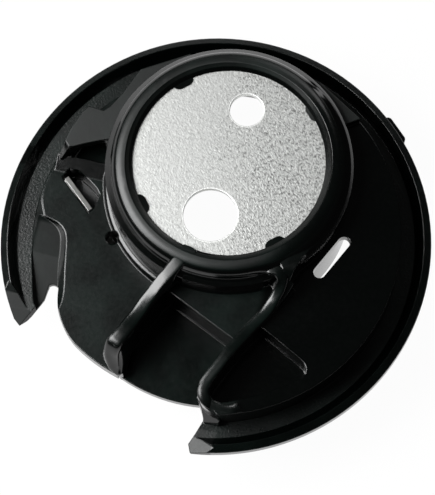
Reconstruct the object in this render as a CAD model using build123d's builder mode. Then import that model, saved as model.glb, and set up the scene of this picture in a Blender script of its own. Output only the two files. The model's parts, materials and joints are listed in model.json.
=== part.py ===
from build123d import *
from math import cos, radians, sin
import os

# Bobbin case of a drop-in sewing-machine hook, lying mouth down.
# The race axis is Z through the origin, the well axis is parallel to it at y = well_y,
# and z = 0 lies in the running face of the race rim. Millimetres.

# ---- race rim ----
race_r = 23.0
race_top = 0.1
race_bottom = -1.1
race_bevel = 1.2
ridge_in = 0.8
ridge_top = 0.65
band_in = 1.7
band_top = -0.6
lug_r = 0.7
lug_w = 3.4
lug_angle = 47
lug_low = -4.0
lug_high = -1.5

# ---- plates and walls of the moulding ----
wall = 1.2
deck_top = -0.5
deck_under = -2.3
floor_top = -2.5
plateau_top = 3.5
ledge_top = 4.5
drum_r = 19.65
floor_r = 17.5

# ---- bobbin well, boss and base plate ----
well_y = 6.73
well_r = 11.2
well_top = 5.6
mouth_z = -7.2
lead_in = 1.1
lead_in_h = 3.4
boss_wall = 1.9
foot_r = 0.6
shoulder_z = 5.65
crease_in = 0.65
crease_z = 6.35
ring_top = 7.7
plate_face = 7.0
plate_t = 0.6
plate_play = 0.3
shelf_w = 0.5
lip_w = 0.76
lip_h = 0.15
notch_half_width = 1.1
notch_depth = 0.6
small_hole_r = 1.8
large_hole_r = 2.85
hole_offset = 6.05
hole_line = 85.3

# ---- ribs, block and recess ----
rib_t = 1.35
rib_b_t = 1.1
rib_a_top = 4.0
rib_b_top = 4.2
recess_floor = 0.0
pocket_low = -1.0

# ---- thread tension leaf, its screws and its seat ----
leaf_off = 0.55
leaf_t = 0.5
leaf_low = -6.7
leaf_high = -3.9
leaf_start = -11.6
leaf_hinge = -0.8
leaf_end = 5.0
tab_start = -11.0
tab_end = -6.5
tab_gap = 0.15
seat_t = 2.4
seat_gap = 0.05
screw_z = -5.3
spring_screw_s = -9.0
tension_screw_s = -2.5
shank_r = 0.95
shank_l = 2.0
thread_gap = 0.05
leaf_hole_gap = 0.1
head_r = 1.4
head_h = 0.9
head_fillet = 0.2
driver_slot_w = 0.4
driver_slot_d = 0.45

leaf_angle = 229.4

well = (0, well_y)
boss_r = well_r + boss_wall
skirt_r = boss_r + foot_r
crease_r = boss_r - crease_in
plate_r = well_r - plate_play
shelf_r = plate_r - shelf_w
lip_r = plate_r - lip_w
leaf_d = boss_r + leaf_off
screw_hole_r = shank_r + thread_gap
leaf_hole_r = shank_r + leaf_hole_gap
floor_under = floor_top - wall
slab_under = plateau_top - wall
drum_inner_r = drum_r - wall
far = 2 * race_r


def about_well(r, a):
    """Plan point at radius r and angle a (degrees) about the well axis."""
    return (r * cos(radians(a)), well_y + r * sin(radians(a)))


def leaf_point(s, d):
    """Plan point at s along the leaf and d out from the well axis."""
    a = radians(leaf_angle)
    return (d * cos(a) - s * sin(a), well_y + d * sin(a) + s * cos(a))


def across_leaf(s, d, z=screw_z):
    """Plane whose normal points outward through the leaf, x along it."""
    a = radians(leaf_angle)
    x, y = leaf_point(s, d)
    return Plane(origin=(x, y, z), x_dir=(-sin(a), cos(a), 0), z_dir=(cos(a), sin(a), 0))


# ---- plan outlines, as seen from above the closed end ----
left_tip = (-11.9, 15.5)
right_tip = (12.2, 15.4)
tip_tangent = 58.7
horn_gap = [(-20.2, -15.5), (-18.6, -14.25), (-17.35, -12.1), (-16.45, -10.1), (-16.35, -9.0), (-16.0, -7.0),
            (-12, -6), (1, -12), (3.0, -17.6), (3.35, -19.2), (2.85, -20.8), (2.4, -21.9), (2.75, -22.7),
            (3.6, -23.3)]
rib_a_path = [(-1.5, -3.2), (-3.05, -5.7), (-4.55, -8.2), (-5.95, -11.3), (-6.75, -13.4)]
rib_a_height = [(-2.6, 7.55), (-4.6, 7.35), (-5.7, 6.4), (-6.9, 5.4), (-8.2, 4.6), (-9.7, 4.15), (-11.4, rib_a_top),
                (-13.6, rib_a_top)]
rib_a_nose = (
    (deck_top, [(-7.75, -12.3), (-8.36, -13.3), (-8.6, -14.4), (-8.2, -15.35), (-7.4, -16.0), (-6.35, -16.5),
                (-6.0, -15.2), (-5.9, -12.3)]),
    (1.0, [(-7.35, -12.2), (-7.75, -13.1), (-7.85, -14.1), (-7.7, -14.8), (-7.2, -15.25), (-6.5, -15.4),
           (-6.1, -14.7), (-5.8, -12.2)]),
    (rib_a_top, [(-6.95, -12.1), (-7.3, -12.9), (-7.5, -13.6), (-7.5, -14.15), (-7.2, -14.5), (-6.8, -14.55),
                 (-6.4, -14.0), (-5.65, -12.1)]))
rib_b_path = [(9.05, -4.0), (7.65, -6.95), (6.05, -9.6), (4.7, -12.1), (3.55, -14.8), (2.95, -16.6), (3.3, -17.6),
              (4.7, -18.4), (7.0, -17.75)]
rib_b_height = [(1.4, 5.9), (-0.4, 6.6), (-2.4, 7.15), (-3.4, 6.7), (-4.6, 5.5), (-6.75, 4.5), (-9.3, rib_b_top),
                (-16.6, rib_b_top), (-17.6, 3.9), (-18.6, plateau_top), (-20.0, plateau_top)]
rib_b_foot = [(2.4, -16.9), (2.25, -17.2), (3.0, -18.3), (3.5, -19.4), (5.1, -19.4), (5.3, -18.6), (4.0, -17.5),
              (3.2, -16.9)]
rib_b_foot_edge = (2.72, -17.69, 1.3)
rib_b_foot_slope = (-0.84, -1.36, 1)
block_front = [(-3.9, -6.4), (5.6, -10.6)]
recess = [(6.7, -8.7), (9.0, -9.81), (11.91, -11.3), (12.45, -11.65), (12.75, -12.1), (12.8, -12.7), (12.4, -13.35),
          (11.5, -14.15), (8.7, -15.95), (5.95, -17.35), (5.0, -17.7), (4.2, -17.6), (3.7, -17.1), (3.6, -16.4),
          (4.2, -14.9), (5.3, -12.3)]
ledge_edge = [(-17.75, 5.9), (-17.5, 7.3), (-16.7, 9.5), (-16.25, 10.2), (-15.5, 10.15), (-14.6, 10.05),
              (-14.0, 10.7), (-13.1, 12.4), left_tip]
ledge_front = [(-13.2, 7.15), (-14.15, 6.77), (-15.6, 6.08), (-16.6, 5.55), (-17.2, 5.35)]
ledge_hollow = [(-12.0, 6.5), (-12.0, 4.0), (-18.1, 3.0), (-17.35, 5.2), (-16.9, 6.3), (-16.4, 7.8), (-15.7, 8.9),
                (-13.6, 8.6)]
side_wall_top = [(-16.6, 9.6), (-17.45, 7.4), (-17.6, 6.2), (-17.1, 5.6), (-16.75, 5.75), (-16.4, 7.2), (-15.7, 8.9)]
side_wall_foot = [(-17.5, 9.2), (-18.7, 7.0), (-19.35, 5.4), (-19.2, 4.6), (-18.8, 4.95), (-17.9, 7.0), (-16.4, 9.0)]
pocket_left = [(-19.3, -1.6), (-19.4, -2.2), (-18.85, -5.85), (-17.35, -10.9), (-16.0, -12.8)]
pocket_wall_foot = [(-16.0, -12.8), (-15.1, -9.5), (-15.7, -6.8), (-16.3, -3.6), (-16.7, -2.75), (-17.4, -2.2),
                    (-18.3, -1.85), (-19.3, -1.6)]
pocket_wall_top = [(-15.3, -12.8), (-14.4, -9.5), (-14.95, -6.7), (-15.6, -3.6), (-16.05, -2.5), (-16.8, -1.85),
                   (-17.9, -1.5), (-19.3, -1.2)]
right_side = [(3.3, -17.9), (2.95, -16.6), (3.55, -14.8), (4.7, -12.1), (6.05, -9.6), (7.6, -6.95), (8.7, -4.0),
              (6.2, -2.0), well, right_tip]
slot_edge = [(-6.4941, -0.4055), (-7.2913, -1.5661), (-8.0614, -1.6962), (-9.2762, -1.5769),
             (-10.8273, -1.2353), (-11.5866, -0.5845), (-11.413, 0.3862)]  # along the leaf and out from it
left_facet = [(-20.25, -9.5), (-18.5, -10.9), (-17.4, -11.6), (-17.0, -15), (-22, -15), (-23, -9.5)]
right_facet = [(2.0, -20.9), (3.4, -21.15), (5.4, -21.95), (6.5, -24), (1.0, -24)]


def region(*points, mode=Mode.ADD):
    """A filled polygon in the sketch that is open."""
    Polygon(*points, align=None, mode=mode)


def plate_notches():
    """Edge notches of the base plate, cut from the sketch that is open."""
    for angle, depth in ((45, notch_depth / 2), (132, notch_depth), (220, notch_depth), (312, notch_depth)):
        centre = about_well(lip_r - depth + 2, angle)
        with Locations(Location((*centre, 0), (0, 0, angle))):
            RectangleRounded(4, 2 * notch_half_width, 0.7, mode=Mode.SUBTRACT)


# ---- tools and walls that are shaped on their own before they join the moulding ----
def pocket_section(z, edge):
    """Outline of the pocket at height z; edge is its curved side toward the deck."""
    with BuildSketch(Plane.XY.offset(z)) as section:
        with BuildLine():
            Polyline(edge[-1], *pocket_left[1:-1], edge[0])
            Spline(*edge)
        make_face()
    return section.sketch


def pocket_cut(origin, normal):
    """Tool for the pocket above a sloping floor: sloping wall toward the deck, upright elsewhere."""
    foot, top = pocket_section(pocket_low, pocket_wall_foot), pocket_section(deck_top, pocket_wall_top)
    with BuildPart() as tool:
        extrude(foot, amount=deck_under - pocket_low)
        loft(sections=[foot.faces()[0], top.faces()[0]])
        extrude(top, amount=1)
        split(bisect_by=Plane(origin=origin, z_dir=normal), keep=Keep.TOP)
    return tool.part


with BuildPart() as rib_a:
    with BuildSketch(Plane.XY.offset(floor_under)):
        with BuildLine():
            Spline(*rib_a_path)
        trace(line_width=rib_t)
    extrude(amount=ring_top - floor_under)
    with BuildSketch(Plane.YZ):
        with BuildLine():
            Spline(*rib_a_height)
            Polyline(rib_a_height[-1], (-far, rib_a_top), (-far, far), (rib_a_height[0][0], far), rib_a_height[0])
        make_face()
    extrude(amount=far, both=True, mode=Mode.SUBTRACT)

with BuildPart() as rib_a_end:
    for z, outline in rib_a_nose:
        with BuildSketch(Plane.XY.offset(z)):
            with BuildLine():
                Spline(*outline, periodic=True)
            make_face()
    loft()
    with BuildSketch(Plane.XY.offset(floor_under)):
        region((-7.2, -12.4), (-6.1, -12.4), (-6.1, -16.3), (-6.5, -16.3), (-7.2, -15.9))
    extrude(amount=deck_top + 0.1 - floor_under)

with BuildPart() as rib_b:
    with BuildSketch(Plane.XY.offset(floor_under)):
        with BuildLine():
            Spline(*rib_b_path)
        trace(line_width=rib_b_t)
        Circle(drum_r, mode=Mode.INTERSECT)
    extrude(amount=ring_top - floor_under)
    with BuildSketch(Plane.XY.offset(slab_under)):
        with BuildLine():
            Polyline((6.3, -4.8), (4.0, -1.5), (9.8, 1.2), (11.2, 0.7), (10.4, -0.4), (9.25, -3.1), (8.4, -5.4),
                     (7.35, -5.5))
            ThreePointArc((7.35, -5.5), (7.1, -4.98), (6.3, -4.8))
        make_face()
    with BuildSketch(Plane.XY.offset(ring_top)):
        with BuildLine():
            Polyline((7.2, -2.2), (4.0, -1.5), (9.8, 1.2), (11.2, 0.7), (10.4, -0.4), (9.35, -3.1), (9.2, -4.3),
                     (8.8, -4.6))
            ThreePointArc((8.8, -4.6), (8.55, -2.95), (7.2, -2.2))
        make_face()
    loft()
    with BuildSketch(Plane.YZ):
        with BuildLine():
            Spline(*rib_b_height)
            Polyline(rib_b_height[-1], (rib_b_height[-1][0], far), (rib_b_height[0][0], far), rib_b_height[0])
        make_face()
    extrude(amount=far, both=True, mode=Mode.SUBTRACT)

with BuildPart() as rib_b_base:
    with BuildSketch(Plane.XY.offset(deck_under)):
        region(*rib_b_foot)
    extrude(amount=rib_b_foot_edge[2] - deck_under)
    split(bisect_by=Plane(origin=rib_b_foot_edge, z_dir=rib_b_foot_slope), keep=Keep.BOTTOM)

with BuildPart() as side_wall:
    with BuildSketch(Plane.XY.offset(deck_under)):
        region(*side_wall_foot)
    with BuildSketch(Plane.XY.offset(ledge_top)):
        region(*side_wall_top)
    loft(ruled=True)

with BuildPart() as boss_foot:
    with BuildSketch(Plane(origin=(*well, 0), x_dir=(1, 0, 0), z_dir=(0, -1, 0))):
        with BuildLine():
            RadiusArc((boss_r, deck_top + foot_r), (skirt_r, deck_top), foot_r)
            Polyline((skirt_r, deck_top), (skirt_r, deck_top - 0.2), (boss_r - 0.3, deck_top - 0.2),
                     (boss_r - 0.3, deck_top + foot_r), (boss_r, deck_top + foot_r))
        make_face()
    revolve(axis=Axis((*well, 0), (0, 0, 1)))
    with BuildSketch(Plane.XY.offset(deck_top - 1)):
        region(well, (-far, 8.5), (-far, -far), (-5.0, -9.0), (-3.0, -5.5))
    extrude(amount=3, mode=Mode.INTERSECT)


def tip_flat(outline, origin, normal):
    """Tool that planes off a tip of the rim: outline in plan, and the plane of the flat."""
    with BuildPart() as tool:
        with BuildSketch(Plane.XY.offset(deck_under)):
            region(*outline)
        extrude(amount=5)
        split(bisect_by=Plane(origin=origin, z_dir=normal), keep=Keep.TOP)
    return tool.part


with BuildPart() as case_body:
    # race rim: running face, ridge and flat band
    with BuildSketch(Plane.XZ):
        region((drum_inner_r, deck_under), (race_r - race_bevel, deck_under), (race_r, race_bottom),
               (race_r, race_top), (race_r - ridge_in, ridge_top), (race_r - band_in, band_top),
               (drum_inner_r, band_top))
    revolve(axis=Axis.Z)
    with BuildSketch(Plane.XY.offset(deck_under - 1)):
        region(*horn_gap, (3.6, -far), (-far / 2, -far))
    extrude(amount=5, mode=Mode.SUBTRACT)

    # left deck, from the ledge round to rib A
    with BuildSketch(Plane.XY.offset(deck_under)):
        with BuildLine():
            ThreePointArc((-15.15, -8.9), (-14.1, -11.95), (-11.9, -14.3))
            ThreePointArc((-11.9, -14.3), (-9.4, -15.6), (-6.6, -16.55))
            Polyline((-6.6, -16.55), (-6.6, -11.66), (-2.3, -3.9), well, (-11.6, 14.7))
            ThreePointArc((-11.6, 14.7), (-16.6, 9.2), (-19.05, 4.4))
            Spline((-19.05, 4.4), (-19.45, 1.9), (-19.28, 0.1), (-18.7, -1.2), (-18.6, -3.0))
            ThreePointArc((-18.6, -3.0), (-17.95, -6.05), (-16.45, -8.95))
            ThreePointArc((-16.45, -8.95), (-15.8, -8.3), (-15.15, -8.9))
        make_face()
    extrude(amount=deck_top - deck_under)
    add(pocket_cut((-19.2, -3, band_top), (0.13, 0, 1)), mode=Mode.SUBTRACT)
    add(pocket_cut((-19.0, -5.3, band_top), (0.13, -0.18, 1)), mode=Mode.SUBTRACT)

    # floor between the ribs
    with BuildSketch(Plane.XY.offset(floor_under)):
        Circle(floor_r)
        region((-7.0, -18), (-7.0, -12.5), (-3.6, -6.2), (5.6, -10.6), (4.3, -12.8), (3.2, -15.4), (2.6, -17.0),
               (3.0, -18.5), mode=Mode.INTERSECT)
    extrude(amount=floor_top - floor_under)

    # drum wall and plateau
    with BuildSketch(Plane.XY.offset(deck_under)):
        Circle(drum_r)
        Circle(drum_inner_r, mode=Mode.SUBTRACT)
        region((far / 2, -far), (5.5, -19.4), *right_side, (far, far), (far, -far), mode=Mode.INTERSECT)
    extrude(amount=plateau_top - deck_under)
    with BuildSketch(Plane.XY.offset(slab_under)):
        Circle(drum_r)
        region((far / 2, -far), (5.5, -19.4), *right_side, (far, far), (far, -far), mode=Mode.INTERSECT)
    extrude(amount=wall)

    # block between the ribs: top slab and front wall
    with BuildSketch(Plane.XY.offset(slab_under)):
        region(*block_front, (7.6, -6.95), (8.7, -4.0), well, (-1.8, -3.0))
    extrude(amount=wall)
    with BuildSketch(Plane.XY.offset(floor_under)):
        with BuildLine():
            Polyline(*block_front)
        trace(line_width=wall)
    extrude(amount=plateau_top - floor_under)

    # recess beside rib B
    with BuildSketch(Plane.XY.offset(recess_floor - wall)):
        region(*recess)
        offset(amount=wall - 0.05)
        Circle(drum_inner_r + 0.1, mode=Mode.INTERSECT)
    extrude(amount=plateau_top - recess_floor + wall)
    with BuildSketch(Plane.XY.offset(recess_floor)):
        Circle(drum_inner_r)
        region(*recess, mode=Mode.INTERSECT)
    extrude(amount=6, mode=Mode.SUBTRACT)

    # ribs
    add(rib_a.part)
    add(rib_a_end.part)
    add(rib_b.part)
    add(rib_b_base.part)

    # ledge: skirt behind the boss, both tips, roof on the left and the side wall that falls to the deck
    with BuildSketch(Plane.XY.offset(deck_under)):
        Circle(skirt_r)
        region(right_tip, about_well(skirt_r, tip_tangent), well)
        region(left_tip, about_well(skirt_r, 180 - tip_tangent), well)
        region(right_tip, (far, far), (-far, far), (-far, 7), (-12.6, 7), well, mode=Mode.INTERSECT)
        region(*ledge_edge, (-8, 14), (-9, 8), *ledge_front)
    extrude(amount=ledge_top - deck_under)
    with BuildSketch(Plane.XY.offset(deck_top)):
        region(*ledge_hollow)
        with Locations(well):
            Circle(skirt_r, mode=Mode.SUBTRACT)
    extrude(amount=ledge_top - wall - deck_top, mode=Mode.SUBTRACT)
    add(side_wall.part)
    with BuildSketch(Plane.YZ.offset(-18.9)):
        region((3.6, deck_top - 0.1), (5.6, deck_top + 0.75), (5.6, deck_top - 0.1))
    extrude(amount=6.6)

    # boss with its shoulder, rounded ring and foot
    with BuildSketch(Plane(origin=(*well, 0), x_dir=(1, 0, 0), z_dir=(0, -1, 0))):
        with BuildLine():
            Polyline((lip_r, plate_face + lip_h), (0, plate_face + lip_h), (0, mouth_z), (boss_r, mouth_z),
                     (boss_r, shoulder_z), (crease_r, crease_z))
            ThreePointArc((crease_r, crease_z), (crease_r - 0.7, ring_top - 0.2), (crease_r - 1.45, ring_top))
            ThreePointArc((crease_r - 1.45, ring_top), (lip_r + 0.26, ring_top - 0.15), (lip_r, plate_face + lip_h))
        make_face()
    revolve(axis=Axis((*well, 0), (0, 0, 1)))
    add(boss_foot.part)

    # leaf seat under the deck
    with BuildSketch(Plane.XY.offset(leaf_low - 0.2)):
        region(leaf_point(leaf_start - 0.2, leaf_d - seat_gap), leaf_point(leaf_end + 0.2, leaf_d - seat_gap),
               leaf_point(leaf_end + 0.2, leaf_d - seat_t), leaf_point(leaf_start - 0.2, leaf_d - seat_t))
    extrude(amount=deck_under - leaf_low + 0.3)

    # stop lug on the mouth side of the rim
    with BuildSketch(Plane.XY.offset(lug_low)):
        with Locations(Location((0, 0, 0), (0, 0, lug_angle))):
            with Locations((race_r + lug_r - 1.55, 0)):
                RectangleRounded(3.1, lug_w, 0.5)
    extrude(amount=lug_high - lug_low)

    # well with its lead-in cone, shelf and recess for the base plate
    with BuildSketch(Plane(origin=(*well, 0), x_dir=(1, 0, 0), z_dir=(0, -1, 0))):
        region((0, mouth_z - 1), (well_r + lead_in, mouth_z - 1), (well_r + lead_in, mouth_z),
               (well_r, mouth_z + lead_in_h), (well_r, well_top), (shelf_r, well_top + 0.4), (0, well_top + 0.4))
    revolve(axis=Axis((*well, 0), (0, 0, 1)), mode=Mode.SUBTRACT)
    for radius, low, high in ((shelf_r, well_top + 0.3, plate_face), (plate_r, plate_face - plate_t, plate_face),
                              (lip_r, plate_face, ring_top + 1)):
        with BuildSketch(Plane.XY.offset(low)):
            with Locations(well):
                Circle(radius)
            plate_notches()
        extrude(amount=high - low, mode=Mode.SUBTRACT)

    # slot for the leaf's tab, oblong slot and pin hole
    with BuildSketch(Plane.XY.offset(leaf_high)):
        region(leaf_point(tab_start - 0.35, leaf_d + leaf_t + tab_gap),
               leaf_point(tab_end + 0.25, leaf_d + leaf_t + tab_gap),
               *(leaf_point(q, leaf_d + d) for q, d in slot_edge))
    extrude(amount=5, mode=Mode.SUBTRACT)
    with BuildSketch(Plane.XY.offset(plateau_top)):
        with Locations(Location((12.65, 0.1, 0), (0, 0, 64.5))):
            SlotOverall(5.4, 1.3)
    extrude(amount=-2 * wall, mode=Mode.SUBTRACT)
    with BuildSketch(Plane.XY.offset(deck_top + foot_r)):
        with Locations((-10.9, -2.1)):
            Circle(0.75)
    extrude(amount=-2 * wall - foot_r, mode=Mode.SUBTRACT)

    # thread slit in the well wall and screw holes in the leaf seat
    with BuildSketch(across_leaf(3.2, 8, mouth_z)):
        region((-0.4, -1), (0.4, -1), (0.4, 2.2), (-0.4, 2.2))
    extrude(amount=6, mode=Mode.SUBTRACT)
    for s in (spring_screw_s, tension_screw_s):
        with BuildSketch(across_leaf(s, leaf_d - seat_gap)):
            Circle(screw_hole_r)
        extrude(amount=-seat_t, mode=Mode.SUBTRACT)

    # flats at both tips of the rim
    add(tip_flat(left_facet, (-17.85, -11.8, band_top), (0.03, -0.4, 0.917)), mode=Mode.SUBTRACT)
    add(tip_flat(right_facet, (3.4, -21.2, -0.4), (-0.43, -0.01, 0.9)), mode=Mode.SUBTRACT)

with BuildPart() as base_plate:
    with BuildSketch(Plane.XY.offset(plate_face - plate_t)):
        with Locations(well):
            Circle(plate_r)
        plate_notches()
        with Locations(about_well(hole_offset, hole_line)):
            Circle(small_hole_r, mode=Mode.SUBTRACT)
        with Locations(about_well(-hole_offset, hole_line)):
            Circle(large_hole_r, mode=Mode.SUBTRACT)
    extrude(amount=plate_t)

with BuildPart() as tension_spring:
    with BuildSketch(across_leaf(0, leaf_d, 0)):
        region((leaf_start, leaf_low), (leaf_hinge, leaf_low), (leaf_hinge, leaf_high), (tab_end, leaf_high),
               (tab_end, deck_top), (tab_start, deck_top), (tab_start, leaf_high), (leaf_start, leaf_high))
        for s in (spring_screw_s, tension_screw_s):
            with Locations((s, screw_z)):
                Circle(leaf_hole_r, mode=Mode.SUBTRACT)
    extrude(amount=leaf_t)

with BuildPart() as tension_spring_tip:
    with BuildSketch(across_leaf(0, leaf_d, 0)):
        region((leaf_hinge, leaf_low), (leaf_end - 1, leaf_low), (leaf_end, leaf_low + 0.8),
               (leaf_end, leaf_high - 0.8), (leaf_end - 1, leaf_high), (leaf_hinge, leaf_high))
    extrude(amount=leaf_t)


def slotted_screw(s, head_seat, turn):
    """Slotted screw through the leaf at s: underside of its head at head_seat, slot turned."""
    with BuildPart() as screw:
        with BuildSketch(across_leaf(s, head_seat)):
            Circle(head_r)
        extrude(amount=head_h)
        fillet(screw.faces().filter_by(GeomType.PLANE).sort_by(SortBy.DISTANCE)[-1].edges(), head_fillet)
        with BuildSketch(across_leaf(s, head_seat + head_h)):
            Rectangle(3 * head_r, driver_slot_w, rotation=turn)
        extrude(amount=-driver_slot_d, mode=Mode.SUBTRACT)
        with BuildSketch(across_leaf(s, head_seat)):
            Circle(shank_r)
        extrude(amount=-shank_l)
    return screw


spring_screw = slotted_screw(spring_screw_s, leaf_d + leaf_t, 15)
tension_screw = slotted_screw(tension_screw_s, leaf_d + leaf_t + seat_gap, 60)

os.makedirs("parts", exist_ok=True)
for piece, name in ((case_body, "case_body"), (base_plate, "base_plate"), (tension_spring, "tension_spring"),
                    (tension_spring_tip, "tension_spring_tip"), (tension_screw, "tension_screw"),
                    (spring_screw, "spring_screw")):
    piece.part.label = name
    export_step(piece.part, f"parts/{name}.step")
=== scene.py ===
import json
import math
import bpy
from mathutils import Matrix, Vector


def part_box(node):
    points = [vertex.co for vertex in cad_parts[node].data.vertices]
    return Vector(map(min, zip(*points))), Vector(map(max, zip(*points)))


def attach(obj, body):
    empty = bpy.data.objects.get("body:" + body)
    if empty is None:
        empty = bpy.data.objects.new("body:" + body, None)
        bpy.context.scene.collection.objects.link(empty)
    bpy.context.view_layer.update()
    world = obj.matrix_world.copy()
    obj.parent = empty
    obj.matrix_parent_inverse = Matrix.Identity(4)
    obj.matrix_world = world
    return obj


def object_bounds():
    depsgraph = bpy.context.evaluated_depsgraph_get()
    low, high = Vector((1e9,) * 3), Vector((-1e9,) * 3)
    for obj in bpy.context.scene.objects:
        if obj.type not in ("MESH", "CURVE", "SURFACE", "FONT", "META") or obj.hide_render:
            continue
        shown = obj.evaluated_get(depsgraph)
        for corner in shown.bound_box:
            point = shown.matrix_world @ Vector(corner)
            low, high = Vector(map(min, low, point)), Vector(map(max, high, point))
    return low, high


bl_info = {
    "name": "Bobbin case",
    "version": (1, 0, 0),
    "blender": (4, 5, 0),
    "location": "3D View > Sidebar > Bobbin case",
    "description": "Finishes, moulded details and a small studio for a drop-in bobbin case",
    "category": "Object",
}

from types import SimpleNamespace

import bpy
import numpy as np
from bpy.props import FloatProperty, FloatVectorProperty, PointerProperty
from mathutils import Matrix, Vector

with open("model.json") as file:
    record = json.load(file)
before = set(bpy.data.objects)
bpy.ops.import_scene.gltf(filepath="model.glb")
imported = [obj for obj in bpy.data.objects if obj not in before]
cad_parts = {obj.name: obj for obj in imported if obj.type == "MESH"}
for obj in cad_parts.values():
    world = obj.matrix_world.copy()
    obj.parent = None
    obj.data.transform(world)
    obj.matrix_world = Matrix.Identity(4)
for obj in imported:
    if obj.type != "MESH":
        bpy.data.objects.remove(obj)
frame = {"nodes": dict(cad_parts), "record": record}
cad_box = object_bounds()
MM = 0.001
WELL_Y = frame["record"]["mounts"][1]["pos_m"][1]
# The base plate's holes lie on one line through the well axis: the line's turn about Z, then each hole's radius and
# how far along the line it is, in millimetres.
HOLE_LINE = math.radians(85.3)
HOLES = ((1.8, 6.05), (2.85, -6.05))
# The way that the zinc's streaks run, that the tension leaf runs and that its screws point, as turns about Z.
STREAK_TURN = math.radians(-40.0)
LEAF_TURN = math.radians(-139.4)
SCREW_TURN = math.radians(-229.4)
WHITE = (1.0, 1.0, 1.0, 1.0)


# ---------------------------------------------------------------- shader shorthand


class Wire:
    """A shader socket that can be used in Python sums, and adds the Math nodes for them."""

    def __init__(self, finish, socket):
        self.finish = finish
        self.socket = socket

    def math(self, operation, *values):
        node = self.finish.add("ShaderNodeMath", {"operation": operation}, dict(enumerate((self, *values))))
        return node.wire(0)

    def __add__(self, other):
        return self.math("ADD", other)

    __radd__ = __add__

    def __sub__(self, other):
        return self.math("SUBTRACT", other)

    def __rsub__(self, other):
        return (self * -1.0) + other

    def __mul__(self, other):
        return self.math("MULTIPLY", other)

    def __pow__(self, other):
        return self.math("POWER", other)

    def over(self, low, high):
        """0 below low, 1 above high, and smooth between them."""
        node = self.finish.add(
            "ShaderNodeMapRange",
            {"interpolation_type": "SMOOTHSTEP"},
            {"Value": self, "From Min": low, "From Max": high},
        )
        return node.wire("Result")

    def under(self, low, high):
        """1 below low, 0 above high, and smooth between them."""
        return 1.0 - self.over(low, high)

    def between(self, low, high, soft):
        """1 between low and high, with edges that fade over soft on either side."""
        return self.over(low - soft, low + soft) * self.under(high - soft, high + soft)

    def most(self, *others):
        """The largest of this wire and the others."""
        result = self
        for other in others:
            result = result.math("MAXIMUM", other)
        return result


class Added:
    """A node that has just been added to a finish."""

    def __init__(self, finish, node):
        self.finish = finish
        self.node = node

    def wire(self, output):
        return Wire(self.finish, self.node.outputs[output])


class Finish:
    """The node tree of one material or world."""

    def __init__(self, owner):
        owner.use_nodes = True
        self.owner = owner
        self.tree = owner.node_tree
        self.tree.nodes.clear()

    def add(self, kind, settings=None, values=None):
        """Adds a node: its settings first, then the numbers, colours or wires of its sockets."""
        node = self.tree.nodes.new(kind)
        for name, value in (settings or {}).items():
            setattr(node, name, value)
        for name, value in (values or {}).items():
            socket = node.inputs[name]
            if isinstance(value, Wire):
                self.tree.links.new(value.socket, socket)
            else:
                socket.default_value = value
        return Added(self, node)

    def place(self):
        """Object coordinates as a vector wire."""
        return self.add("ShaderNodeTexCoord").wire("Object")

    def facing(self):
        """The way that the surface faces, in the object's own axes, as a vector wire."""
        return self.add("ShaderNodeTexCoord").wire("Normal")

    def axes(self, vector):
        """The three numbers of a vector wire."""
        split = self.add("ShaderNodeSeparateXYZ", None, {0: vector})
        return split.wire(0), split.wire(1), split.wire(2)

    def millimetres(self, vector):
        """The three numbers of a vector wire, in millimetres."""
        return tuple(number * (1.0 / MM) for number in self.axes(vector))

    def stretched(self, vector, scale, turn):
        """The vector turned about Z and then scaled, for grain that runs one way."""
        turned = self.add("ShaderNodeMapping", None, {"Vector": vector, "Rotation": (0.0, 0.0, turn)})
        return self.add("ShaderNodeMapping", None, {"Vector": turned.wire(0), "Scale": scale}).wire(0)

    def noise(self, vector, grain, detail=3.0, rough=0.5):
        """Noise whose lumps are about grain metres across, from 0 to 1."""
        values = {"Vector": vector, "Scale": 1.0 / grain, "Detail": detail, "Roughness": rough}
        return self.add("ShaderNodeTexNoise", None, values).wire(0)

    def mixed(self, amount, first, second):
        """The colour first where amount is 0 and second where it is 1."""
        node = self.add("ShaderNodeMix", {"data_type": "RGBA"}, {0: amount, 6: first, 7: second})
        return node.wire(2)

    def joined(self, x, y, z):
        """A direction of length 1 with these three numbers' ratio."""
        vector = self.add("ShaderNodeCombineXYZ", None, {0: x, 1: y, 2: z}).wire(0)
        return self.add("ShaderNodeVectorMath", {"operation": "NORMALIZE"}, {0: vector}).wire(0)

    def blended(self, amount, first, second):
        """The direction first where amount is 0 and second where it is 1."""
        mix = self.add("ShaderNodeMix", {"data_type": "VECTOR"}, {0: amount, 4: first, 5: second}).wire(1)
        return self.add("ShaderNodeVectorMath", {"operation": "NORMALIZE"}, {0: mix}).wire(0)

    def bumped(self, height, depth, normal=None):
        """A normal pushed in and out by height times depth metres."""
        values = {"Height": height, "Distance": depth, "Strength": 1.0}
        if normal is not None:
            values["Normal"] = normal
        return self.add("ShaderNodeBump", None, values).wire(0)

    def rounded(self, radius):
        """A normal that softens every edge to radius metres."""
        return self.add("ShaderNodeBevel", {"samples": 8}, {"Radius": radius}).wire(0)

    def surface(self, values):
        """Principled surface with these socket values, as the material's output."""
        shader = self.add("ShaderNodeBsdfPrincipled", None, values).wire(0)
        self.add("ShaderNodeOutputMaterial", None, {"Surface": shader})
        return self.owner


def new_finish(name):
    return Finish(bpy.data.materials.new(name))


def tinted(colour, factor=1.0):
    """The colour times the factor, with full alpha."""
    return tuple(factor * c for c in colour) + (1.0,)


def coat_node(name, material):
    """Puts the material on a CAD node."""
    part = frame["nodes"][name]
    for slot in part.material_slots:
        slot.material = material


# ---------------------------------------------------------------- settings


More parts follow.
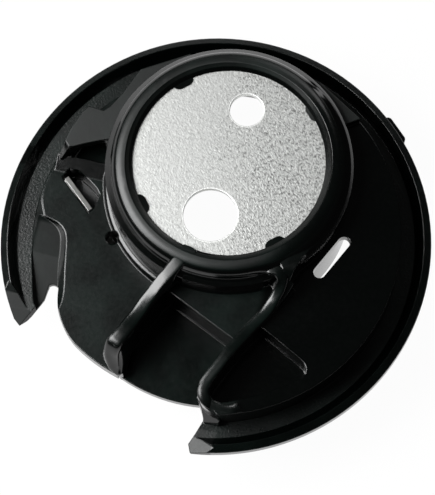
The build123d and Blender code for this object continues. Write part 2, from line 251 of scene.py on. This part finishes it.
class BobbinCaseFinish(bpy.types.PropertyGroup):
    plastic_colour: FloatVectorProperty(
        name="Moulding colour", description="Colour of the black moulding",
        subtype="COLOR", default=(0.0010, 0.0022, 0.0018), min=0.0, max=1.0)
    mirror: FloatProperty(
        name="Mirror", description="Roughness of the plateau and of the recesses, which are polished most",
        default=0.16, min=0.0, max=1.0)
    satin: FloatProperty(
        name="Satin", description="Roughness of the deck, of the floors and of the ribs",
        default=0.24, min=0.0, max=1.0)
    brushed: FloatProperty(
        name="Brushed", description="Roughness of the ring round the base plate",
        default=0.41, min=0.0, max=1.0)
    matt: FloatProperty(
        name="Matt", description="Roughness of the ledge, of the pocket and of the rim's band",
        default=0.46, min=0.0, max=1.0)
    band_grain: FloatProperty(
        name="Band grain", description="Size of the grain on the flat band of the rim",
        subtype="DISTANCE", unit="LENGTH", default=0.00022)
    edge_radius: FloatProperty(
        name="Edge radius", description="Radius that softens the edges of the moulding",
        subtype="DISTANCE", unit="LENGTH", default=0.00018)
    rib_radius: FloatProperty(
        name="Rib radius", description="Radius that rounds the tops of the ribs",
        subtype="DISTANCE", unit="LENGTH", default=0.0006)
    zinc_colour: FloatVectorProperty(
        name="Zinc colour", description="Colour of the zinc on the base plate",
        subtype="COLOR", default=(0.66, 0.67, 0.655), min=0.0, max=1.0)
    spangle: FloatProperty(
        name="Spangle size", description="Size of the crystals in the zinc",
        subtype="DISTANCE", unit="LENGTH", default=0.00018)
    strip_colour: FloatVectorProperty(
        name="Leaf colour", description="Colour of the rolled steel strip of the tension leaf",
        subtype="COLOR", default=(0.28, 0.28, 0.27), min=0.0, max=1.0)
    screw_colour: FloatVectorProperty(
        name="Screw colour", description="Colour of the plated screws",
        subtype="COLOR", default=(0.58, 0.58, 0.57), min=0.0, max=1.0)


class BobbinCaseStage(bpy.types.PropertyGroup):
    azimuth: FloatProperty(
        name="Azimuth", description="Turn of the camera round the case",
        subtype="ANGLE", unit="ROTATION", default=math.radians(19.75))
    elevation: FloatProperty(
        name="Elevation", description="Height of the camera above the rim's plane",
        subtype="ANGLE", unit="ROTATION", default=math.radians(74.2))
    roll: FloatProperty(
        name="Roll", description="Turn of the camera about its own axis",
        subtype="ANGLE", unit="ROTATION", default=math.radians(-6.22))
    distance: FloatProperty(
        name="Distance", description="Distance from the camera to the race axis",
        subtype="DISTANCE", unit="LENGTH", default=0.24563)
    lens: FloatProperty(
        name="Lens", description="Focal length on a sensor 36 mm wide, in millimetres",
        default=167.27, min=1.0)
    key_power: FloatProperty(
        name="Key lamp", description="Power of the main lamp at the left, in watts",
        default=0.84, min=0.0)
    rim_power: FloatProperty(
        name="Back lamp", description="Power of the lamp behind the case, in watts",
        default=0.12, min=0.0)
    sky: FloatProperty(
        name="Room light", description="Strength of the even light of the room",
        default=0.03, min=0.0)


# ---------------------------------------------------------------- rounded ribs


def smooth_path(stations, steps):
    """A line through the stations: between two of them it is the cubic whose slope at each is half the step between
    that station's neighbours. Every column is treated alike, so widths and heights change as smoothly as places."""
    rows = np.asarray(stations, dtype=float)
    last = len(rows) - 1
    t = np.linspace(0.0, last, steps * last + 1)
    first = np.minimum(t.astype(int), last - 1)
    u = (t - first)[:, None]
    before, here = rows[np.maximum(first - 1, 0)], rows[first]
    there, after = rows[first + 1], rows[np.minimum(first + 2, last)]
    return 0.5 * (2.0 * here + (there - before) * u + (2.0 * before - 5.0 * here + 4.0 * there - after) * u ** 2
                  + (3.0 * (here - there) + after - before) * u ** 3)


def rounded_ridge(name, stations, steps=10, around=48):
    """A closed ridge whose rows are x, y, z of its middle line, half width and half height, in millimetres.
    Its section is a superellipse: across = half width * cos(a)^0.5 and up = half height * sin(a)^0.5, with the signs
    kept. Over the last fourteenth of its length at each end the section shrinks as the square root of the distance,
    to a round end."""
    end_share, least_scale, squareness = 1.0 / 14.0, 0.02, 0.5
    rows = smooth_path(stations, steps) * MM
    middle, half_width, half_height = rows[:, :3], rows[:, 3], rows[:, 4]
    along = np.gradient(middle, axis=0)
    along /= np.linalg.norm(along, axis=1, keepdims=True)
    side = np.cross(along, (0.0, 0.0, 1.0))
    side /= np.linalg.norm(side, axis=1, keepdims=True)
    up = np.cross(side, along)
    run = np.linspace(0.0, 1.0, len(rows))
    shrink = np.sqrt(np.clip(np.minimum(run, 1.0 - run) / end_share, least_scale, 1.0))
    angle = np.linspace(0.0, 2.0 * np.pi, around, endpoint=False)
    across = np.sign(np.cos(angle)) * np.abs(np.cos(angle)) ** squareness
    rise = np.sign(np.sin(angle)) * np.abs(np.sin(angle)) ** squareness
    rings = (middle[:, None] + side[:, None] * (half_width * shrink)[:, None, None] * across[None, :, None]
             + up[:, None] * (half_height * shrink)[:, None, None] * rise[None, :, None])
    count = len(rows)
    corners = np.concatenate((rings.reshape(-1, 3), middle[:1], middle[-1:]))
    i, j = np.meshgrid(np.arange(count - 1), np.arange(around), indexing="ij")
    k = (j + 1) % around
    sides = np.stack((i * around + j, i * around + k, (i + 1) * around + k, (i + 1) * around + j), -1).reshape(-1, 4)
    j = np.arange(around)
    k = (j + 1) % around
    start = np.stack((np.full(around, count * around), k, j), -1)
    end = np.stack((np.full(around, count * around + 1), (count - 1) * around + j, (count - 1) * around + k), -1)
    mesh = bpy.data.meshes.new(name)
    mesh.from_pydata(corners.tolist(), [], sides.tolist() + start.tolist() + end.tolist())
    mesh.shade_smooth()
    piece = bpy.data.objects.new(name, mesh)
    bpy.context.scene.collection.objects.link(piece)
    return piece


class BOBBINCASE_OT_round_ribs(bpy.types.Operator):
    """Rounded crowns on the two ribs, which run up into the ring and, on the left rib, down to the deck's edge"""

    bl_idname = "bobbincase.round_ribs"
    bl_label = "Round the ribs"

    def execute(self, context):
        left = ((-2.1, -4.0, 6.80, 0.50, 0.50), (-2.4, -4.7, 6.80, 0.74, 0.68), (-2.8, -5.5, 6.62, 0.78, 0.72),
                (-3.25, -6.3, 6.20, 0.76, 0.72), (-3.75, -7.1, 5.55, 0.75, 0.70), (-4.3, -8.0, 4.83, 0.74, 0.62),
                (-4.95, -9.1, 4.27, 0.73, 0.54), (-5.5, -10.3, 3.87, 0.72, 0.50), (-6.05, -11.5, 3.72, 0.76, 0.50),
                (-6.52, -12.6, 3.75, 0.80, 0.52), (-6.90, -13.4, 3.73, 0.83, 0.54), (-7.24, -14.10, 3.45, 0.88, 0.58),
                (-7.42, -14.91, 1.95, 0.80, 0.55), (-7.16, -15.71, 0.25, 0.62, 0.50),
                (-6.52, -16.41, -0.85, 0.50, 0.45))
        right = ((5.9, -3.5, 6.00, 0.40, 0.45), (6.8, -3.4, 6.20, 0.56, 0.52), (7.65, -3.4, 6.25, 0.62, 0.55),
                 (8.25, -3.9, 5.95, 0.62, 0.56), (8.3, -4.8, 5.28, 0.61, 0.56), (7.98, -5.9, 4.66, 0.60, 0.54),
                 (7.43, -7.3, 4.12, 0.60, 0.50), (6.72, -8.5, 3.93, 0.60, 0.47), (6.05, -9.6, 3.86, 0.60, 0.45),
                 (4.7, -12.1, 3.86, 0.60, 0.45), (3.55, -14.8, 3.86, 0.60, 0.45), (2.99, -16.3, 3.86, 0.60, 0.45),
                 (3.0, -17.1, 3.82, 0.60, 0.45), (3.4, -17.75, 3.62, 0.60, 0.45), (4.0, -18.15, 3.20, 0.50, 0.40),
                 (4.5, -18.3, 2.60, 0.35, 0.30))
        for name, stations in (("rib_a_crown", left), ("rib_b_crown", right)):
            piece = rounded_ridge(name, stations)
            piece.data.materials.append(bpy.data.materials["black_moulding"])
            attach(piece, "case")
        return {"FINISHED"}


# ---------------------------------------------------------------- finishes


class BOBBINCASE_OT_finish_moulding(bpy.types.Operator):
    """Satin black plastic: the rim's band is grained, the plateau and recesses polished, the ledge and pocket matt.
    The plateau, the recesses, the ramp under the ledge, the steep faces, the ring's lee side and the wall between the
    ribs also get painted shade: a darker base colour.
    """

    bl_idname = "bobbincase.finish_moulding"
    bl_label = "Finish the moulding"

    def execute(self, context):
        given = context.scene.bobbincase_finish
        finish = new_finish("black_moulding")
        place = finish.place()
        parts = self.parts(finish, place)
        clouds = finish.noise(place, 4.0 * MM, 4.0)
        fine = finish.noise(place, given.band_grain, 2.0, 0.6)
        skin = finish.noise(place, 0.45 * MM, 4.0, 0.6)
        # The third colour, three tenths of the moulding's colour, is painted shade, laid where parts.dark is 1. The
        # second, lighter one is mixed in at random by the clouds.
        base, dusty, painted_shade = (tinted(given.plastic_colour, factor) for factor in (1.0, 2.6, 0.3))
        mottle = (clouds - 0.5) * 0.06 + (skin - 0.5) * 0.10
        finish.surface({
            "Base Color": finish.mixed(parts.dark, finish.mixed(clouds.over(0.35, 0.7), base, dusty), painted_shade),
            "Roughness": (given.satin + mottle
                          - parts.dark * (given.satin - given.mirror)
                          + parts.dull_ring * (given.brushed - given.satin)
                          + parts.worn * (given.matt - given.satin)
                          + parts.band * 0.06 - parts.floor * 0.04 - parts.ribs * (0.06 - parts.bend * 0.13)),
            "Normal": finish.bumped(fine * (parts.band * 0.9 + 0.1), 0.03 * MM,
                                    finish.bumped(skin, 0.003 * MM, self.edges(finish, given, parts))),
        })
        coat_node("case_body", finish.owner)
        return {"FINISHED"}

    def parts(self, finish, place):
        """Masks from 0 to 1 for the parts of the moulding, told apart by where they lie, in millimetres."""
        soft = 0.05
        x, y, z = finish.millimetres(place)
        from_well = y - WELL_Y / MM
        race_radius = (x * x + y * y) ** 0.5
        well_radius = (x * x + from_well * from_well) ** 0.5
        upright = finish.axes(finish.facing())[2]
        steep = upright.under(0.70, 0.92)

        band = race_radius.between(19.65, 21.35, soft) * z.between(-0.9, -0.2, soft)
        floor = z.under(-2.4, -2.3)
        ribs = z.over(3.6, 3.9) * y.under(-7.0, -5.6)
        nose = y.under(-12.6, -11.8) * x.between(-9.0, -5.8, soft) * z.over(0.0, 0.5)
        bend = y.under(-13.5, -11.5)

        ring = z.over(5.7, 6.2)
        lee = ring * x.over(5.0, 9.0)
        shoulder = lee * well_radius.between(11.9, 12.8, soft)
        wall = (well_radius.between(12.75, 13.4, soft) * x.between(-1.8, 6.4, soft)
                * y.under(-3.0, -2.5) * z.over(-0.85, -0.75))

        plateau = z.between(3.2, 3.8, soft) * x.over(6.0, 7.0)
        recess = z.between(-0.2, 0.2, soft) * x.over(2.0, 3.0) * race_radius.under(19.0, 19.3)
        ramp = y.between(3.5, 5.7, soft) * x.under(-12.6, -12.2) * z.between(-0.48, 4.3, soft)
        # dark covers the plateau, the recesses, the ramp under the ledge, the steep faces, the ring's lee side and
        # the wall between the ribs. It makes them polished, and it also paints them darker as shade in the base
        # colour.
        dark = plateau.most(recess, ramp, steep, lee * 0.8, wall)

        ledge = z.between(4.2, 4.7, soft) * well_radius.over(13.0, 13.2) * y.over(4.0, 5.0)
        pocket = x.under(-15.6, -15.2) * y.under(-2.2, -1.6) * z.between(-2.2, -0.62, soft)
        left_tip = y.under(-10.6, -10.4) * x.under(-16.6, -16.2)
        right_tip = y.under(-20.3, -20.0) * x.over(1.8, 2.0) * x.under(4.8, 5.1)

        return SimpleNamespace(
            band=band, floor=floor, ribs=ribs, bend=bend, dark=dark,
            dull_ring=ring * (1.0 - steep) * (1.0 - dark),
            worn=ledge.most(pocket) + left_tip + right_tip,
            wide_edges=ribs.most(nose),
            inner_slope=ring * well_radius.under(10.82, 10.90),
            inward=finish.joined(x * -1.0, from_well * -1.0, well_radius),
            raised=shoulder.most(wall) * 0.85 + ribs * (1.0 - bend) * 0.5,
        )

    def edges(self, finish, given, parts):
        """The normal with softened edges. It leans inward on the ring's inner slope, and upward where parts.raised
        says so, which keeps the bright table out of those places' reflections."""
        normal = finish.blended(
            parts.wide_edges, finish.rounded(given.edge_radius), finish.rounded(given.rib_radius))
        normal = finish.blended(parts.inner_slope, normal, parts.inward)
        return finish.blended(parts.raised, normal, finish.joined(0.0, 0.0, 1.0))


class BOBBINCASE_OT_finish_plate(bpy.types.Operator):
    """Zinc-plated sheet: small crystals that lie at different angles. Towards the right their dark flecks grow
    stronger and the relief deeper, a pattern that also paints that side darker as shade; round the holes' edges a
    highlight is painted.
    """

    bl_idname = "bobbincase.finish_plate"
    bl_label = "Finish the base plate"

    def execute(self, context):
        given = context.scene.bobbincase_finish
        finish = new_finish("spangled_zinc")
        place = finish.place()
        x, y, _ = finish.millimetres(place)
        streaked = finish.stretched(place, (1.0, 0.6, 1.0), STREAK_TURN)
        flecks = finish.noise(streaked, given.spangle, 2.0, 0.75)
        lumps = finish.noise(place, given.spangle * 3.0, 3.0, 0.6)
        clouds = finish.noise(place, 5.0 * MM, 3.0)
        # Grows towards the right, with clouds. It strengthens the dark flecks and deepens the relief, so it also
        # paints the plate's right side darker as shade.
        stronger_to_right = (x * (1.0 / 9.0) + clouds * 1.6).over(0.35, 1.45)
        patchy = 0.45 + lumps.over(0.35, 0.65) * 0.85
        grey = flecks.under(0.26, 0.64) * (0.40 + stronger_to_right * 0.70) * patchy
        # The third colour, a third lighter than the zinc, is a painted highlight on thin rings round the two holes'
        # edges.
        light, dark, bright = (tinted(given.zinc_colour, factor) for factor in (1.0, 0.30, 1.35))
        small, large = (self.rim(x, y, radius, offset) for radius, offset in HOLES)
        relief = flecks * (0.5 + stronger_to_right * 0.5) + lumps * 0.7
        finish.surface({
            "Base Color": finish.mixed(small + large, finish.mixed(grey, light, dark), bright),
            "Metallic": 0.9,
            "Roughness": 0.42 + lumps * 0.12,
            "Normal": finish.bumped(relief, 0.034 * MM, finish.rounded(0.10 * MM)),
        })
        coat_node("base_plate", finish.owner)
        return {"FINISHED"}

    def rim(self, x, y, radius, offset):
        """1 on a thin ring round the edge of the hole whose middle lies offset from the well axis on the holes' line,
        where a highlight is painted.
        """
        across = x - offset * math.cos(HOLE_LINE)
        along = y - (WELL_Y / MM + offset * math.sin(HOLE_LINE))
        return ((across * across + along * along) ** 0.5).between(radius - 0.05, radius + 0.13, 0.03)


class BOBBINCASE_OT_finish_leaf(bpy.types.Operator):
    """Bright rolled strip, with fine lines along its length"""

    bl_idname = "bobbincase.finish_leaf"
    bl_label = "Finish the tension leaf"

    def execute(self, context):
        given = context.scene.bobbincase_finish
        finish = new_finish("rolled_strip")
        place = finish.place()
        along = finish.stretched(place, (0.08, 1.0, 1.0), LEAF_TURN)
        lines = finish.noise(along, 0.07 * MM, 3.0, 0.6)
        stains = finish.noise(place, 1.5 * MM, 3.0)
        light, dark = tinted(given.strip_colour), tinted(given.strip_colour, 0.75)
        finish.surface({
            "Base Color": finish.mixed(stains.over(0.4, 0.8), light, dark),
            "Metallic": 1.0,
            "Roughness": 0.24 + lines * 0.16,
            "Normal": finish.bumped(lines, 0.006 * MM, finish.rounded(0.06 * MM)),
        })
        coat_node("tension_spring", finish.owner)
        coat_node("tension_spring_tip", finish.owner)
        return {"FINISHED"}


class BOBBINCASE_OT_finish_screws(bpy.types.Operator):
    """Nickel-plated screws, with rings left by turning"""

    bl_idname = "bobbincase.finish_screws"
    bl_label = "Finish the screws"

    def execute(self, context):
        given = context.scene.bobbincase_finish
        for name in ("tension_screw", "spring_screw"):
            finish = new_finish(name + "_nickel")
            low, high = (Vector(corner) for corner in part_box(name))
            centre = (low + high) / 2
            moved = finish.add("ShaderNodeMapping", None, {"Vector": finish.place(), "Location": tuple(-centre)})
            turned = finish.add("ShaderNodeMapping", None, {
                "Vector": moved.wire(0), "Rotation": (0.0, 0.0, SCREW_TURN)})
            _, y, z = finish.axes(turned.wire(0))
            radius = (y * y + z * z) ** 0.5
            rings = (radius * (2 * math.pi / (0.09 * MM))).math("SINE")
            spots = finish.noise(finish.place(), 0.4 * MM, 3.0)
            light, dark = tinted(given.screw_colour), tinted(given.screw_colour, 0.7)
            finish.surface({
                "Base Color": finish.mixed(spots.over(0.45, 0.75), light, dark),
                "Metallic": 1.0,
                "Roughness": 0.22 + spots * 0.14,
                "Normal": finish.bumped(rings, 0.002 * MM, finish.rounded(0.06 * MM)),
            })
            coat_node(name, finish.owner)
        return {"FINISHED"}


# ---------------------------------------------------------------- stage


def area_lamp(name, place, aim, size, power):
    """A square lamp at place that shines towards aim."""
    lamp = bpy.data.lights.new(name, "AREA")
    lamp.shape = "SQUARE"
    lamp.size = size
    lamp.energy = power
    holder = bpy.data.objects.new(name, lamp)
    direction = Vector(place) - Vector(aim)
    holder.matrix_world = Matrix.Translation(place) @ direction.to_track_quat("Z", "Y").to_matrix().to_4x4()
    bpy.context.scene.collection.objects.link(holder)


class BOBBINCASE_OT_build_stage(bpy.types.Operator):
    """White table, lamps, room light and camera"""

    bl_idname = "bobbincase.build_stage"
    bl_label = "Build the stage"

    def execute(self, context):
        given = context.scene.bobbincase_stage
        self.build_table()
        self.build_lamps(given)
        self.build_room(given)
        self.build_camera(given)
        context.scene.view_settings.view_transform = "Standard"
        return {"FINISHED"}

    def build_table(self):
        half, gap = 0.2, 0.02 * MM
        level = cad_box[0][2] - gap
        corners = [(-half, -half, level), (half, -half, level), (half, half, level), (-half, half, level)]
        mesh = bpy.data.meshes.new("table")
        mesh.from_pydata(corners, [], [(0, 1, 2, 3)])
        table = bpy.data.objects.new("table", mesh)
        bpy.context.scene.collection.objects.link(table)
        finish = new_finish("table_white")
        ray = finish.add("ShaderNodeLightPath")
        seen = ray.wire("Is Camera Ray").most(ray.wire("Is Glossy Ray"), ray.wire("Is Transmission Ray"))
        paper = finish.add("ShaderNodeBsdfPrincipled", None, {"Base Color": (0.9, 0.9, 0.9, 1.0), "Roughness": 0.9})
        white = finish.add("ShaderNodeEmission", None, {"Color": WHITE, "Strength": 1.0})
        mix = finish.add("ShaderNodeMixShader", None, {0: seen * 0.97, 1: paper.wire(0), 2: white.wire(0)})
        finish.add("ShaderNodeOutputMaterial", None, {"Surface": mix.wire(0)})
        mesh.materials.append(finish.owner)

    def build_lamps(self, given):
        key_direction, key_distance, key_size = Vector((-0.652, -0.15, 0.743)), 0.20, 0.14
        area_lamp("key_lamp", key_direction * key_distance, (0.0, 0.0, 0.0), key_size, given.key_power)
        back_place, back_aim, back_size = (0.06, 0.25, 0.16), (0.0, 0.005, 0.0), 0.12
        area_lamp("back_lamp", back_place, back_aim, back_size, given.rim_power)

    def build_room(self, given):
        world = bpy.data.worlds.new("room")
        bpy.context.scene.world = world
        finish = Finish(world)
        seen = finish.add("ShaderNodeLightPath").wire("Is Camera Ray")
        even = finish.add("ShaderNodeBackground", None, {"Color": WHITE, "Strength": given.sky})
        white = finish.add("ShaderNodeBackground", None, {"Color": WHITE, "Strength": 1.0})
        mix = finish.add("ShaderNodeMixShader", None, {0: seen, 1: even.wire(0), 2: white.wire(0)})
        finish.add("ShaderNodeOutputWorld", None, {"Surface": mix.wire(0)})

    def build_camera(self, given):
        camera = bpy.data.cameras.new("camera")
        camera.sensor_width = 36.0
        camera.lens = given.lens
        camera.clip_start = 0.01
        holder = bpy.data.objects.new("camera", camera)
        az, el, roll = given.azimuth, given.elevation, given.roll
        back = Vector((math.sin(az) * math.cos(el), -math.cos(az) * math.cos(el), math.sin(el)))
        right = Vector((math.cos(az), math.sin(az), 0.0))
        up = back.cross(right)
        turned_right = math.cos(roll) * right + math.sin(roll) * up
        turned_up = math.cos(roll) * up - math.sin(roll) * right
        shift_right, shift_up = 0.224 * MM, -0.726 * MM
        place = back * given.distance + turned_right * shift_right + turned_up * shift_up
        basis = Matrix((turned_right, turned_up, back)).transposed().to_4x4()
        holder.matrix_world = Matrix.Translation(place) @ basis
        bpy.context.scene.collection.objects.link(holder)
        bpy.context.scene.camera = holder


# ---------------------------------------------------------------- panel and registration


class BOBBINCASE_PT_sidebar(bpy.types.Panel):
    bl_idname = "BOBBINCASE_PT_sidebar"
    bl_label = "Bobbin case"
    bl_space_type = "VIEW_3D"
    bl_region_type = "UI"
    bl_category = "Bobbin case"

    def draw(self, context):
        for operator in OPERATORS:
            self.layout.operator(operator.bl_idname)


OPERATORS = (
    BOBBINCASE_OT_finish_moulding,
    BOBBINCASE_OT_round_ribs,
    BOBBINCASE_OT_finish_plate,
    BOBBINCASE_OT_finish_leaf,
    BOBBINCASE_OT_finish_screws,
    BOBBINCASE_OT_build_stage,
)
CLASSES = (BobbinCaseFinish, BobbinCaseStage, *OPERATORS, BOBBINCASE_PT_sidebar)


def register():
    for item in CLASSES:
        bpy.utils.register_class(item)
    bpy.types.Scene.bobbincase_finish = PointerProperty(type=BobbinCaseFinish)
    bpy.types.Scene.bobbincase_stage = PointerProperty(type=BobbinCaseStage)


def unregister():
    del bpy.types.Scene.bobbincase_stage
    del bpy.types.Scene.bobbincase_finish
    for item in reversed(CLASSES):
        bpy.utils.unregister_class(item)


def main():
    register()
    bpy.ops.bobbincase.finish_moulding()
    bpy.ops.bobbincase.round_ribs()
    bpy.ops.bobbincase.finish_plate()
    bpy.ops.bobbincase.finish_leaf()
    bpy.ops.bobbincase.finish_screws()
    bpy.ops.bobbincase.build_stage()


if __name__ == "__main__":
    main()
